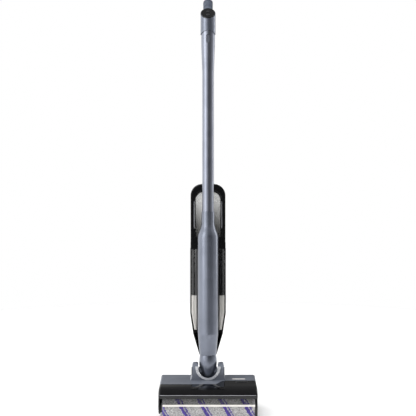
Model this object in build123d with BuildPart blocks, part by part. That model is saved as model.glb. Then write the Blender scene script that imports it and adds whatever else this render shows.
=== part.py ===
from build123d import *
import os
from math import cos, pi, radians, sin

os.makedirs("parts", exist_ok=True)

# ---------------------------------------------------------------- driving dimensions (mm)
roller_radius = 34                        # over the fleece
head_width = 265
head_rear = 142                           # roller axis to the rear wall of the head
lip_reach = roller_radius + 6             # roller axis to the front lip of the cover
sole_height = 5                           # underside of the chassis above the floor
split_height = roller_radius + 30         # seam between the chassis and its covers
head_height = 2 * roller_radius + 22      # flat top of the head
wall = 2.5                                # moulded shells
floor_plate = 4

fleece_pile = 7
fleece_length = head_width - 16
roller_shift = 2                          # the belt on the left moves the roller to the right
belt_width = 4
hub_pulley_radius = 14
motor_pulley_radius = 6
belt_thickness = 1.5
brush_motor_radius = 17
brush_motor_back = 76
brush_motor_length = 72

pivot_back = 90                           # roller axis to the recline pivot
pivot_height = head_height + 20
lean = 4                                  # degrees behind upright when parked
ear_radius = 25.5
ear_thickness = 17
pin_radius = 7

neck_radius = 23
neck_bulge = neck_radius + 1.5
neck_top = 45                             # along the body axis, from the pivot
spigot_radius = neck_radius - 4
hose_radius = neck_radius - 10
ear_gap = 2 * neck_bulge + 5              # clear width between the yoke ears

spine_width = 57
spine_front = 30                          # body axis to the front of the spine
spine_back = 18
cone_top = 104                            # where the cone ends and the tanks begin
flare_start = 372
flare_end = 412
socket_top = 444
pole_radius = 16.3
pole_gap = 0.3                            # between the pole and the socket that it is glued into
socket_radius = pole_radius + pole_gap + 1.6
pole_seat = 386

tank_width = 100
tank_depth = 63
tank_wall = 2.2
tank_corner = 22
tank_foot_width = 82
tank_shoulder = 160                       # the dirty tank widens up to here
dirty_tank_top = 338
dirty_lid_top = dirty_tank_top + 19
clean_tank_base = dirty_lid_top + 5
clean_tank_top = 520
rim_thickness = 6
window_width = 70
window_top = 500
frame_thickness = 5

motor_radius = 20
cell_radius = 9.2
cell_length = 65

taper_start = 833
taper_end = 909
pole_top = 948                            # crown of the arched seam under the handle
pole_top_radius = 19.3
seam_arch = pole_top_radius + 8.2         # radius of that arch
pole_wall = 2
spigot_length = 30
handle_wall = 1.6
handle_radius = pole_top_radius + handle_wall + 0.1
console_height = 999                      # centre of the sloping console
console_slope = 38                        # degrees from level
grip_start = 990
grip_rise = 25                            # degrees above level, going backward
grip_length = 131
grip_radius = 14
sleeve_start = 35                         # along the grip, clear of the handle tube
grip_core_radius = grip_radius - 3
cap_length = 9

gap = 0.3                                 # clearance between moulded pieces
slide_gap = 0.5                           # clearance where a piece lifts or slides out
fit = 0.05                                # running fit of pins in bores

# ---------------------------------------------------------------- the frame
# The origin is on the floor under the middle of the whole machine. The rearmost point is the
# lower edge of the grip cap, so the depth follows from the lean and the grip.
grip_reach = (grip_start * sin(radians(lean)) + grip_length * cos(radians(grip_rise))
              + grip_radius * sin(radians(grip_rise)))
overall_depth = lip_reach + pivot_back + grip_reach
roller_y = lip_reach - overall_depth / 2
pivot_y = roller_y + pivot_back

BODY = Plane(
    origin=(0, pivot_y, pivot_height),
    x_dir=(1, 0, 0),
    z_dir=(0, sin(radians(lean)), cos(radians(lean))),
)
BODY_AXIS = Axis(BODY.origin, BODY.z_dir)


def head_side(x=0.0):
    """Section across the head: local x is the distance behind the roller axis, y the height."""
    return Plane(origin=(x, roller_y, 0), x_dir=(0, 1, 0), z_dir=(1, 0, 0))


def head_level(height):
    """Level section of the head, measured from the roller axis."""
    return Plane(origin=(0, roller_y, height), x_dir=(1, 0, 0), z_dir=(0, 0, 1))


def level(height, back=0.0):
    """Cross-section of the leaning body."""
    return Plane(origin=BODY.from_local_coords((0, back, height)), x_dir=(1, 0, 0), z_dir=BODY.z_dir)


def facing(back, height=0.0):
    """Front view of the leaning body at a distance behind its axis, extruding forward."""
    return Plane(origin=BODY.from_local_coords((0, back, height)), x_dir=(1, 0, 0), z_dir=-BODY.y_dir)


def side(x=0.0):
    """Side section of the leaning body: local x is behind the axis, y is along it."""
    return Plane(origin=BODY.from_local_coords((x, 0, 0)), x_dir=BODY.y_dir, z_dir=(1, 0, 0))


def save(piece, name):
    piece.part.label = name
    export_step(piece.part, f"parts/{name}.step")


# ---------------------------------------------------------------- floor head
half_width = head_width / 2
roller_axis_height = roller_radius
bay_wall = roller_radius + 5
right_inside = half_width - wall
roller_left = roller_shift - fleece_length / 2
roller_right = roller_shift + fleece_length / 2
belt_right = roller_left - 3
belt_left = belt_right - belt_width
wheel_radius = 15
wheel_width = 12
wheel_back = head_rear - wheel_radius - 4
wheel_x = half_width - 27
bracket = 3
axle_radius = 2.5
duct_radius = 16


def hull(inset):
    """Closed outer form of the head above the seam, or its inside when inset by the wall."""
    with BuildPart() as form:
        with BuildSketch(head_side()):
            with BuildLine():
                front = -lip_reach + inset
                rear = head_rear - inset
                top = head_height - inset
                nose = Spline(
                    (front, split_height + 5), (front + 8, top - 7), (brow_back, top),
                    tangents=((0, 1), (1, 0)),
                )
                ridge = Line(nose @ 1, (rear - 12, top))
                tail = Spline(ridge @ 1, (rear - 3, top - 5), (rear, split_height + 5),
                              tangents=((1, 0), (0, -1)))
                Polyline(tail @ 1, (rear, split_height - inset), (front, split_height - inset), nose @ 0)
            make_face()
        extrude(amount=half_width - inset, both=True)
        for end in (0, -1):
            rim = form.edges().group_by(Axis.X)[end]
            fillet(rim.filter_by(lambda edge: edge.center().Z > split_height + 1), 5 - inset)
    return form.part


brow_back = 26           # the nose of the cover rises up to here
outer_hull = hull(0)
inner_hull = hull(wall)
seam_left = 10           # the black cover steps back between these two, seen from above
seam_right = 53
seam_front = 18
seam_rear = 60


def seam_region(clearance):
    """Area of the black front cover seen from above."""
    with BuildSketch(head_level(split_height - 5)) as region:
        with BuildLine():
            sweep_up = Spline((seam_left, seam_front - clearance), (seam_right, seam_rear - clearance),
                              tangents=((1, 0), (1, 0)))
            Polyline(
                sweep_up @ 1,
                (head_width, seam_rear - clearance),
                (head_width, -head_width),
                (-head_width, -head_width),
                (-head_width, seam_front - clearance),
                sweep_up @ 0,
            )
        make_face()
    return region.sketch


def make_chassis():
    with BuildPart() as chassis:
        with BuildSketch(head_level(sole_height)):
            with Locations((0, (bay_wall + 5 + head_rear) / 2)):
                RectangleRounded(head_width, head_rear - bay_wall - 5, 4)
        extrude(amount=floor_plate)
        # bay wall behind the roller
        with BuildSketch(head_side(roller_left)):
            with Locations((bay_wall + wall, (sole_height + split_height) / 2)):
                Rectangle(2 * wall, split_height - sole_height)
        extrude(amount=right_inside - roller_left)
        # rear wall and side walls
        with BuildSketch(head_side(-half_width)):
            with Locations((head_rear - wall / 2, (sole_height + split_height) / 2)):
                Rectangle(wall, split_height - sole_height - gap)
        extrude(amount=head_width)
        with BuildSketch(head_side(-half_width)):
            with BuildLine():
                Polyline(
                    (-lip_reach + 8, split_height - gap),
                    (-lip_reach + 4, split_height - 8),
                    (-lip_reach + 4, 42),
                    (-22, 22),
                    (6, 12),
                    (28, sole_height),
                    (head_rear, sole_height),
                    (head_rear, split_height - gap),
                    close=True,
                )
            make_face()
        extrude(amount=wall)
        with BuildSketch(head_side(right_inside)):
            with Locations(((bay_wall + head_rear) / 2, (sole_height + split_height) / 2)):
                Rectangle(head_rear - bay_wall, split_height - sole_height - gap)
        extrude(amount=wall)
        # bearing for the drive hub and suction mouth
        with BuildSketch(head_side(-half_width)):
            with Locations((0, roller_axis_height)):
                Circle(3 + fit)
        extrude(amount=wall, mode=Mode.SUBTRACT)
        with BuildSketch(head_side(-duct_radius)):
            with Locations((bay_wall + wall, 22)):
                Rectangle(4 * wall, 18)
        extrude(amount=2 * duct_radius, mode=Mode.SUBTRACT)
        # wheel wells and axle brackets
        for hand in (-1, 1):
            with BuildSketch(head_level(sole_height - 1)):
                with Locations((hand * wheel_x, wheel_back)):
                    Rectangle(wheel_width + 2, 2 * wheel_radius + 2)
            extrude(amount=floor_plate + 2, mode=Mode.SUBTRACT)
            for offset in (-1, 1):
                place = hand * wheel_x + offset * (wheel_width / 2 + 1 + bracket / 2)
                with BuildSketch(head_side(place - bracket / 2)):
                    with Locations((wheel_back, sole_height + 9)):
                        Rectangle(12, 18)
                extrude(amount=bracket)
            with BuildSketch(head_side(hand * wheel_x - wheel_width / 2 - 1 - bracket)):
                with Locations((wheel_back, wheel_radius)):
                    Circle(axle_radius + fit)
            extrude(amount=wheel_width + 2 + 2 * bracket, mode=Mode.SUBTRACT)
    save(chassis, "head_chassis")


def across(offset=0.0):
    """Front view of the head through the pivot, extruding toward the rear."""
    return Plane(origin=(0, pivot_y + offset, 0), x_dir=(1, 0, 0), z_dir=(0, 1, 0))


def yoke_side(radius, foot):
    """Side view of the yoke: round over the pivot, straight down to the head."""
    with BuildSketch(head_side(-half_width)) as outline:
        with Locations((pivot_back, pivot_height)):
            Circle(radius)
        with Locations((pivot_back, (pivot_height + foot) / 2)):
            Rectangle(2 * radius, pivot_height - foot)
    return outline.sketch


def make_yoke():
    """Two ears with flared feet, and the saddle between them that is cut to a U round the neck."""
    foot = head_height - wall
    top = pivot_height + ear_radius
    outside = ear_gap / 2 + ear_thickness
    with BuildPart() as ear_pair:
        with BuildSketch(across(-ear_radius)):
            for hand in (-1, 1):
                with BuildLine():
                    ramp = Spline((hand * (outside + 13), -foot), (hand * outside, -foot - 17),
                                  tangents=((-hand, 0), (0, -1)))
                    rise = Line(ramp @ 1, (hand * outside, -top + 10))
                    crown = Spline(rise @ 1, (hand * (outside - 7), -top), (hand * ear_gap / 2, -top + 5),
                                   tangents=((0, -1), (-0.6 * hand, 0.8)))
                    Polyline(crown @ 1, (hand * ear_gap / 2, -foot), ramp @ 0)
                make_face()
        extrude(amount=2 * ear_radius)
        extrude(yoke_side(ear_radius, foot), amount=head_width, mode=Mode.INTERSECT)
        for hand in (-1, 1):
            with BuildSketch(head_side(hand * outside)):
                with Locations((pivot_back, pivot_height)):
                    Circle(cap_over_pivot + gap)
            extrude(amount=hand * 14, mode=Mode.SUBTRACT)
    with BuildPart() as front_wall:
        extrude(yoke_side(ear_radius, foot), amount=head_width)
        extrude(yoke_side(ear_radius - 2.4, foot - 1), amount=head_width, mode=Mode.SUBTRACT)
        with BuildSketch(across(-2 * ear_radius)):
            with Locations((0, -(foot + u_centre) / 2)):
                Rectangle(ear_gap, u_centre - foot)
            with Locations((0, -u_centre)):
                Ellipse(ear_gap / 2, u_centre - u_bottom, mode=Mode.SUBTRACT)
        extrude(amount=2 * ear_radius, mode=Mode.INTERSECT)
    return ear_pair.part, front_wall.part


cap_over_pivot = pin_radius + 4
u_centre = pivot_height + 17      # the U round the neck, in the front view
u_bottom = head_height + 6
ears, saddle = make_yoke()


def make_head_cover():
    with BuildPart() as cover:
        add(outer_hull)
        add(inner_hull, mode=Mode.SUBTRACT)
        extrude(seam_region(0), amount=head_height, mode=Mode.SUBTRACT)
        add(ears)
        add(saddle)
        with BuildSketch(head_side(-half_width)):
            with Locations((pivot_back, pivot_height)):
                Circle(pin_radius + fit)
        extrude(amount=head_width, mode=Mode.SUBTRACT)
        with BuildSketch(head_level(head_height - 2 * wall)):
            with Locations((0, pivot_back)):
                Circle(duct_radius + slide_gap)
        extrude(amount=4 * wall, mode=Mode.SUBTRACT)
    save(cover, "head_cover")


def make_yoke_trim():
    trim = 2.2
    drop = u_centre - u_bottom
    with BuildPart() as band:
        extrude(yoke_side(ear_radius + gap + trim, head_height), amount=head_width)
        extrude(yoke_side(ear_radius + gap, head_height - 1), amount=head_width, mode=Mode.SUBTRACT)
        with BuildSketch(across(-2 * ear_radius)):
            with Locations((0, -u_centre)):
                Ellipse(ear_gap / 2 + 8, drop + 5.4)
                Ellipse(ear_gap / 2 + 0.2, drop + 0.2, mode=Mode.SUBTRACT)
                with Locations((0, -ear_radius)):
                    Rectangle(3 * ear_gap, 2 * ear_radius, mode=Mode.SUBTRACT)
        extrude(amount=2 * ear_radius, mode=Mode.INTERSECT)
    save(band, "yoke_trim")


def make_pivot_caps():
    with BuildPart() as caps:
        for hand in (-1, 1):
            start = ear_gap / 2 + ear_thickness
            with BuildSketch(head_side(hand * start)):
                with Locations((pivot_back, pivot_height)):
                    Circle(cap_over_pivot)
            extrude(amount=hand * 2)
    save(caps, "pivot_caps")


def make_suction_duct():
    mouth = bay_wall + 2 * wall
    with BuildPart() as duct:
        with BuildSketch(head_side(-duct_radius)):
            with Locations(((mouth + pivot_back + duct_radius) / 2, 24)):
                Rectangle(pivot_back + duct_radius - mouth, 26)
        extrude(amount=2 * duct_radius)
        with BuildSketch(head_level(24)):
            with Locations((0, pivot_back)):
                Circle(duct_radius)
        extrude(amount=pivot_height - 22.5 - 24)
        with BuildSketch(head_side(-duct_radius + 2)):
            with Locations(((mouth + pivot_back + duct_radius) / 2 - 2, 24)):
                Rectangle(pivot_back + duct_radius - mouth, 22)
        extrude(amount=2 * duct_radius - 4, mode=Mode.SUBTRACT)
        with BuildSketch(head_level(20)):
            with Locations((0, pivot_back)):
                Circle(duct_radius - 2)
        extrude(amount=head_height, mode=Mode.SUBTRACT)
    save(duct, "suction_duct")


def head_bar(name, length, back, height, depth, tall):
    """Straight bar across the head, from its centre line and its section."""
    with BuildPart() as bar:
        with BuildSketch(head_side(roller_shift - length / 2)):
            with Locations((back, height)):
                Rectangle(depth, tall)
        extrude(amount=length)
    save(bar, name)


def make_spray_bar():
    with BuildPart() as bar:
        with BuildSketch(head_side(roller_shift - fleece_length / 2 + 12)):
            with Locations((bay_wall - 5, split_height - 3)):
                Circle(4)
                Circle(2.4, mode=Mode.SUBTRACT)
        extrude(amount=fleece_length - 24)
    save(bar, "spray_bar")


def make_brush_drive():
    can_start = belt_right + 8
    shaft = 2
    with BuildPart() as motor:
        for start, length, radius, mode in (
            (can_start, brush_motor_length, brush_motor_radius, Mode.ADD),
            (can_start + 3, brush_motor_length - 6, brush_motor_radius - 2, Mode.SUBTRACT),
            (can_start, brush_motor_length, shaft + fit, Mode.SUBTRACT),
        ):
            with BuildSketch(head_side(start)):
                with Locations((brush_motor_back, roller_axis_height)):
                    Circle(radius)
            extrude(amount=length, mode=mode)
    save(motor, "brush_motor")
    with BuildPart() as belt:
        for grow, mode in ((belt_thickness + gap, Mode.ADD), (gap, Mode.SUBTRACT)):
            with BuildSketch(head_side(belt_left)):
                with BuildLine():
                    CenterArc((0, roller_axis_height), hub_pulley_radius + grow, 0, 360)
                    CenterArc((brush_motor_back, roller_axis_height), motor_pulley_radius + grow, 0, 360)
                make_hull()
            extrude(amount=belt_width, mode=mode)
    save(belt, "drive_belt")
    # the pulley, its shaft and the rotor on it turn as one
    with BuildPart() as pulley:
        for start, length, radius in (
            (belt_left, belt_width, motor_pulley_radius),
            (belt_right, can_start + brush_motor_length - belt_right - 1, shaft),
            (can_start + 8, brush_motor_length - 16, brush_motor_radius - 4),
        ):
            with BuildSketch(head_side(start)):
                with Locations((brush_motor_back, roller_axis_height)):
                    Circle(radius)
            extrude(amount=length)
    save(pulley, "motor_pulley")
    with BuildPart() as hub:
        for start, length, radius in (
            (-half_width + 1, belt_left + half_width - 1, 3),
            (belt_left, belt_width, hub_pulley_radius),
            (belt_right, roller_left + 14 - belt_right, 10),
        ):
            with BuildSketch(head_side(start)):
                with Locations((0, roller_axis_height)):
                    Circle(radius)
            extrude(amount=length)
    save(hub, "drive_hub")


def ring(name, start, length, outer, inner, back=0.0, height=0.0):
    """Round piece about an axis across the head, hollow when inner is more than nothing."""
    with BuildPart() as piece:
        with BuildSketch(head_side(start)):
            with Locations((back, height)):
                Circle(outer)
                if inner:
                    Circle(inner, mode=Mode.SUBTRACT)
        extrude(amount=length)
    save(piece, name)


core_radius = roller_radius - fleece_pile
bearing_radius = 9
shaft_radius = 4
cap_radius = roller_radius - 2
tab_width = 22
tab_height = 11


def make_roller():
    height = roller_axis_height
    with BuildPart() as core:
        with BuildSketch(head_side(roller_left)):
            with Locations((0, height)):
                Circle(core_radius)
        extrude(amount=fleece_length)
        with BuildSketch(head_side(roller_left + 16)):
            with Locations((0, height)):
                Circle(core_radius - 3)
        extrude(amount=fleece_length - 32, mode=Mode.SUBTRACT)
        with BuildSketch(head_side(roller_left)):
            with Locations((0, height)):
                Circle(10 + fit)
        extrude(amount=16, mode=Mode.SUBTRACT)
        with BuildSketch(head_side(roller_right - 16)):
            with Locations((0, height)):
                Circle(bearing_radius)
        extrude(amount=16, mode=Mode.SUBTRACT)
    save(core, "roller_core")
    ring("roller_fleece", roller_left, fleece_length, roller_radius, core_radius, 0, height)
    ring("roller_bearing", roller_right - 16, 16, bearing_radius, shaft_radius + fit, 0, height)
    with BuildPart() as cap:
        with BuildSketch(head_side(roller_right + 1)):
            with Locations((0, height)):
                Circle(cap_radius)
        extrude(amount=half_width - roller_right - 1)
        with BuildSketch(head_side(roller_right - 20)):
            with Locations((0, height)):
                Circle(shaft_radius)
        extrude(amount=21)
    save(cap, "roller_cap")
    with BuildPart() as tab:
        with BuildSketch(head_side(roller_right + 1)):
            with Locations((0, height + cap_radius + tab_height / 2 - 2)):
                Rectangle(tab_width, tab_height + 4)
        extrude(amount=half_width - roller_right - 1)
        with BuildSketch(head_side(roller_right)):
            with Locations((0, height)):
                Circle(cap_radius)
        extrude(amount=half_width - roller_right, mode=Mode.SUBTRACT)
    save(tab, "roller_tab")


def make_wheels():
    for name, hand in (("rear_wheel_left", -1), ("rear_wheel_right", 1)):
        with BuildPart() as wheel:
            with BuildSketch(head_side(hand * wheel_x)):
                with Locations((wheel_back, wheel_radius)):
                    Circle(wheel_radius)
                    Circle(axle_radius + fit, mode=Mode.SUBTRACT)
            extrude(amount=wheel_width / 2, both=True)
            fillet(wheel.edges().filter_by(GeomType.CIRCLE).sort_by(SortBy.RADIUS)[-2:], 1.5)
        save(wheel, name)
    with BuildPart() as axles:
        for hand in (-1, 1):
            with BuildSketch(head_side(hand * wheel_x)):
                with Locations((wheel_back, wheel_radius)):
                    Circle(axle_radius)
            extrude(amount=wheel_width / 2 + 1 + bracket, both=True)
    save(axles, "wheel_axles")


def make_head_trim():
    with BuildPart() as badge:
        with BuildSketch(head_level(head_height)):
            with Locations((85, pivot_back - 12)):
                RectangleRounded(36, 6, 2)
        extrude(amount=0.6)
    save(badge, "badge")
    with BuildPart() as screws:
        with BuildSketch(head_level(sole_height + floor_plate)):
            with Locations(*[(x, bay_wall + 75) for x in (-70, -50, 50, 70)]):
                Circle(3.5)
        extrude(amount=3)
    save(screws, "head_screws")
    with BuildPart() as contacts:
        for hand in (-1, 1):
            with BuildSketch(Plane(origin=(hand * 16, roller_y + head_rear, 38),
                                   x_dir=(-1, 0, 0), z_dir=(0, 1, 0))):
                Circle(5)
            extrude(amount=0.8)
    save(contacts, "charging_contacts")


# ---------------------------------------------------------------- lift-off front cover
latch_length = 34
latch_depth = 12
latch_x = 92


def make_front_cover():
    with BuildPart() as cover:
        add(outer_hull)
        add(inner_hull, mode=Mode.SUBTRACT)
        extrude(seam_region(gap), amount=head_height, mode=Mode.INTERSECT)
        with BuildSketch(head_level(head_height - 3 * wall)):
            with Locations((latch_x, seam_rear - 17)):
                SlotOverall(latch_length + 2 * gap, latch_depth + 2 * gap)
        extrude(amount=6 * wall, mode=Mode.SUBTRACT)
        # the right end is open for the roller and its pull tab
        with BuildSketch(head_side(roller_right)):
            with Locations((0, roller_axis_height)):
                Circle(roller_radius + 1)
                with Locations((0, cap_radius + tab_height / 2)):
                    Rectangle(tab_width + 2 * slide_gap, tab_height + 2 * slide_gap)
        extrude(amount=half_width, mode=Mode.SUBTRACT)
    save(cover, "front_cover")
    with BuildPart() as latch:
        with BuildSketch(head_level(head_height - 5)):
            with Locations((latch_x, seam_rear - 17)):
                SlotOverall(latch_length, latch_depth)
        extrude(amount=6)
        fillet(latch.edges().group_by(Axis.Z)[-1], 0.8)
    save(latch, "cover_latch")
    strip = 5
    lower = 43
    span = fleece_length - 2
    with BuildPart() as window:
        with BuildSketch(head_side(roller_shift - span / 2)):
            with Locations((-lip_reach + 2, (split_height + lower + strip) / 2)):
                Rectangle(2, split_height - lower - strip)
        extrude(amount=span)
    save(window, "cover_window")
    head_bar("cover_strip", span, -lip_reach + 2.2, lower + strip / 2, 3.6, strip)


# ---------------------------------------------------------------- neck
def make_neck():
    with BuildPart() as neck:
        with BuildSketch(side()):
            with BuildLine():
                Spline((neck_radius, neck_top), (neck_bulge, 22), (neck_radius - 1, 4), (15.6, -14))
                Polyline((15.6, -14), (0, -14), (0, neck_top + 10), (spigot_radius, neck_top + 10),
                         (spigot_radius, neck_top), (neck_radius, neck_top))
            make_face()
        revolve(axis=BODY_AXIS)
        with BuildSketch(side()):
            Circle(pin_radius + 5)
        extrude(amount=ear_gap / 2 - 1, both=True)
        with BuildSketch(level(-30)):
            Circle(hose_radius + 1)
        extrude(amount=neck_top + 60, mode=Mode.SUBTRACT)
        with BuildSketch(side()):
            Circle(pin_radius)
        extrude(amount=ear_gap, both=True, mode=Mode.SUBTRACT)
    save(neck, "neck")
    with BuildPart() as pins:
        for hand in (-1, 1):
            with BuildSketch(side(hand * (hose_radius + 2))):
                Circle(pin_radius)
            extrude(amount=hand * (ear_gap / 2 + ear_thickness - hose_radius - 3))
    save(pins, "pivot_pins")
    folds = 12
    pitch = (neck_top + 20) / folds
    with BuildPart() as hose:
        with BuildSketch(side()):
            with BuildLine():
                outline = []
                for turn in range(folds):
                    foot = -12 + turn * pitch
                    outline += [(hose_radius - 2, foot), (hose_radius, foot + pitch / 2)]
                outline += [(hose_radius - 2, -12 + folds * pitch)]
                inner = [(x - 1.2, y) for x, y in reversed(outline)]
                Polyline(*outline, *inner, close=True)
            make_face()
        revolve(axis=BODY_AXIS)
    save(hose, "suction_hose")


# ---------------------------------------------------------------- main body
cone_base = neck_top + slide_gap
tank_front = spine_back + gap + frame_thickness + slide_gap
tank_rear = tank_front + tank_depth
tank_middle = (tank_front + tank_rear) / 2
riser_back = 50
riser_radius = 12
shelf = 3.5
shelf_top = cone_top + gap + shelf
middle_shelf_base = dirty_lid_top + slide_gap


def spine_outline(height, width, front, back):
    """Section of the spine: a half ellipse in front of a straight-sided channel."""
    with BuildSketch(level(height)) as outline:
        with BuildLine():
            nose = EllipticalCenterArc((0, 0), width / 2, front, 180, arc_size=180)
            Polyline(nose @ 1, (width / 2, back), (-width / 2, back), nose @ 0)
        make_face()
    return outline.sketch


def make_spine():
    low_width = 2 * neck_radius + 1
    low_front = neck_radius + 1
    narrow = 2 * socket_radius
    inside = spine_width - 2 * wall
    foot = spine_outline(cone_base, low_width, low_front, 1)
    hip = spine_outline(cone_top, spine_width, spine_front, spine_back)
    flare = []
    for step in range(5):
        share = (1 - cos(pi * step / 4)) / 2
        flare.append(spine_outline(flare_start + (flare_end - flare_start) * step / 4,
                                   spine_width + (narrow - spine_width) * share,
                                   spine_front + (socket_radius - spine_front) * share, spine_back))
    socket = flare[-1]
    channel_foot = spine_outline(cone_base + 3, low_width - 2 * wall, low_front - wall, 3)
    channel = spine_outline(cone_top, inside, spine_front - wall, spine_back + 2)
    with BuildPart() as spine:
        loft([foot, hip], ruled=True)
        extrude(hip, amount=flare_start - cone_top)
        loft(flare)
        extrude(socket, amount=socket_top - flare_end)
        # channel, open to the back
        loft([channel_foot, channel], ruled=True, mode=Mode.SUBTRACT)
        extrude(channel, amount=flare_start + 2 - cone_top, mode=Mode.SUBTRACT)
        with BuildSketch(level(cone_base - 1)):
            Circle(spigot_radius + slide_gap)
        extrude(amount=6, mode=Mode.SUBTRACT)
        with BuildSketch(level(pole_seat)):
            Circle(pole_radius + gap)
        extrude(amount=socket_top, mode=Mode.SUBTRACT)
    save(spine, "spine_shell")


def cone_outline(height, width, front, back, corner):
    """Section of the cone: straight in front, with two round corners behind."""
    with BuildSketch(level(height)) as outline:
        with BuildLine():
            half = width / 2
            Line((-half, front), (half, front))
            Line((half, front), (half, back - corner))
            EllipticalCenterArc((half - corner, back - corner), corner, corner, 0, arc_size=90)
            Line((half - corner, back), (corner - half, back))
            EllipticalCenterArc((corner - half, back - corner), corner, corner, 90, arc_size=90)
            Line((-half, back - corner), (-half, front))
        make_face()
    return outline.sketch


def make_cone():
    low = neck_radius + 1
    wide = tank_foot_width + 2
    foot = cone_outline(cone_base, 2 * low, 1 + gap, low, low - 3)
    top = cone_outline(cone_top, wide, spine_back + gap, tank_rear, tank_corner)
    inner_foot = cone_outline(cone_base + 3, 2 * (low - wall), -4, low - wall, low - 3 - wall)
    inner_top = cone_outline(cone_top + 1, wide - 2 * wall, spine_back - 10, tank_rear - wall,
                             tank_corner - wall)
    with BuildPart() as cone:
        loft([foot, top], ruled=True)
        loft([inner_foot, inner_top], ruled=True, mode=Mode.SUBTRACT)
        with BuildSketch(level(cone_base - 1)):
            Circle(spigot_radius + slide_gap)
        extrude(amount=6, mode=Mode.SUBTRACT)
    save(cone, "lower_cone")


def make_back_frame():
    frame_front = spine_back + gap
    frame_back = frame_front + frame_thickness
    border = 4
    upper = arch(frame_back, tank_width - 2, dirty_tank_top, clean_tank_top, arch_corner)
    upper_window = arch(frame_back, window_width + 6, clean_tank_base + 12, window_top + 4, arch_corner - 5)
    with BuildPart() as frame:
        extrude(upper, amount=frame_thickness)
        extrude(upper_window, amount=frame_thickness, mode=Mode.SUBTRACT)
        with BuildSketch(facing(frame_back)):
            foot = (tank_foot_width + 2) / 2
            wide = tank_width / 2
            for inset, mode in ((0, Mode.ADD), (border, Mode.SUBTRACT)):
                with BuildLine():
                    base = cone_top + gap + 2 * inset
                    top = dirty_tank_top + (border - inset)
                    Polyline((inset - foot, base), (foot - inset, base), (wide - inset, tank_shoulder),
                             (wide - inset, top), (inset - wide, top),
                             (inset - wide, tank_shoulder), close=True)
                make_face(mode=mode)
        extrude(amount=frame_thickness)
        for height, width in ((cone_top + gap, tank_foot_width), (middle_shelf_base, tank_width - 4)):
            with BuildSketch(level(height)):
                with Locations((0, (frame_front + tank_rear) / 2)):
                    RectangleRounded(width, tank_rear - frame_front, 8)
            extrude(amount=shelf)
        with BuildSketch(level(cone_top)):
            with Locations((0, riser_back)):
                Circle(riser_radius + gap)
        extrude(amount=shelf + 2, mode=Mode.SUBTRACT)
        face_edges = [
            edge for edge in frame.edges()
            if abs(BODY.to_local_coords(edge.center()).Y - frame_front) < 0.01
            and BODY.to_local_coords(edge.center()).Z > cone_top + 10
        ]
        fillet(face_edges, 1.4)
    save(frame, "back_frame")


def make_riser():
    bottom = neck_top + 22
    with BuildPart() as riser:
        for radius, mode in ((riser_radius, Mode.ADD), (riser_radius - 2, Mode.SUBTRACT)):
            with BuildSketch(level(bottom)):
                Circle(radius)
            with BuildSketch(level(cone_top, riser_back)):
                Circle(radius)
            loft(mode=mode)
    save(riser, "riser_duct")


def make_power_pack():
    base = 188
    columns = (-cell_radius - 0.5, cell_radius + 0.5)
    cell_back = -12
    with BuildPart() as cells:
        for row in range(2):
            with BuildSketch(level(base + row * (cell_length + 3))):
                with Locations(*[(x, cell_back) for x in columns]):
                    Circle(cell_radius)
            extrude(amount=cell_length)
    save(cells, "battery_cells")
    with BuildPart() as holder:
        with BuildSketch(level(base - 2)):
            with Locations((0, cell_back + cell_radius + 2)):
                Rectangle(4 * cell_radius + 1, 3)
        extrude(amount=2 * cell_length + 7)
        for height in (base - 2.5, base + cell_length + 0.5, base + 2 * cell_length + 3.5):
            with BuildSketch(level(height)):
                with Locations((0, cell_back + 3)):
                    Rectangle(4 * cell_radius - 4, 2 * cell_radius - 2)
            extrude(amount=2)
    save(holder, "battery_holder")
    with BuildPart() as motor:
        with BuildSketch(level(120, -5)):
            Circle(motor_radius)
        extrude(amount=42)
        with BuildSketch(level(119, -5)):
            Circle(3 + fit)
        extrude(amount=20, mode=Mode.SUBTRACT)
    save(motor, "suction_motor")
    with BuildPart() as impeller:
        with BuildSketch(level(109, -5)):
            Circle(motor_radius - 2)
        extrude(amount=3)
        with BuildSketch(level(109, -5)):
            Circle(6)
            with PolarLocations(11.5, 7):
                Rectangle(10, 1.5)
        extrude(amount=9)
        with BuildSketch(level(109, -5)):
            Circle(3)
        extrude(amount=25)
    save(impeller, "impeller")
    with BuildPart() as pump:
        with BuildSketch(level(166)):
            with Locations((0, -4)):
                RectangleRounded(34, 18, 3)
        extrude(amount=16)
    save(pump, "water_pump")
    with BuildPart() as board:
        with BuildSketch(facing(12, 240)):
            Rectangle(40, 84)
        extrude(amount=1.6)
        with BuildSketch(facing(10.4, 240)):
            with GridLocations(16, 26, 2, 3):
                Rectangle(8, 8)
        extrude(amount=3)
    save(board, "circuit_board")


# ---------------------------------------------------------------- clean water tank
clean_front = tank_front + rim_thickness
arch_corner = 32


def arch(back, width, base, top, corner):
    """Front outline with rounded upper corners, standing on its base line."""
    with BuildSketch(facing(back)) as outline:
        with BuildLine():
            half = width / 2
            Polyline((half, top - corner), (half, base), (-half, base), (-half, top - corner))
            EllipticalCenterArc((corner - half, top - corner), corner, corner, 90, arc_size=90)
            Line((corner - half, top), (half - corner, top))
            EllipticalCenterArc((half - corner, top - corner), corner, corner, 0, arc_size=90)
        make_face()
    return outline.sketch


filler_radius = 13
filler_back = clean_front + 28


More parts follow.
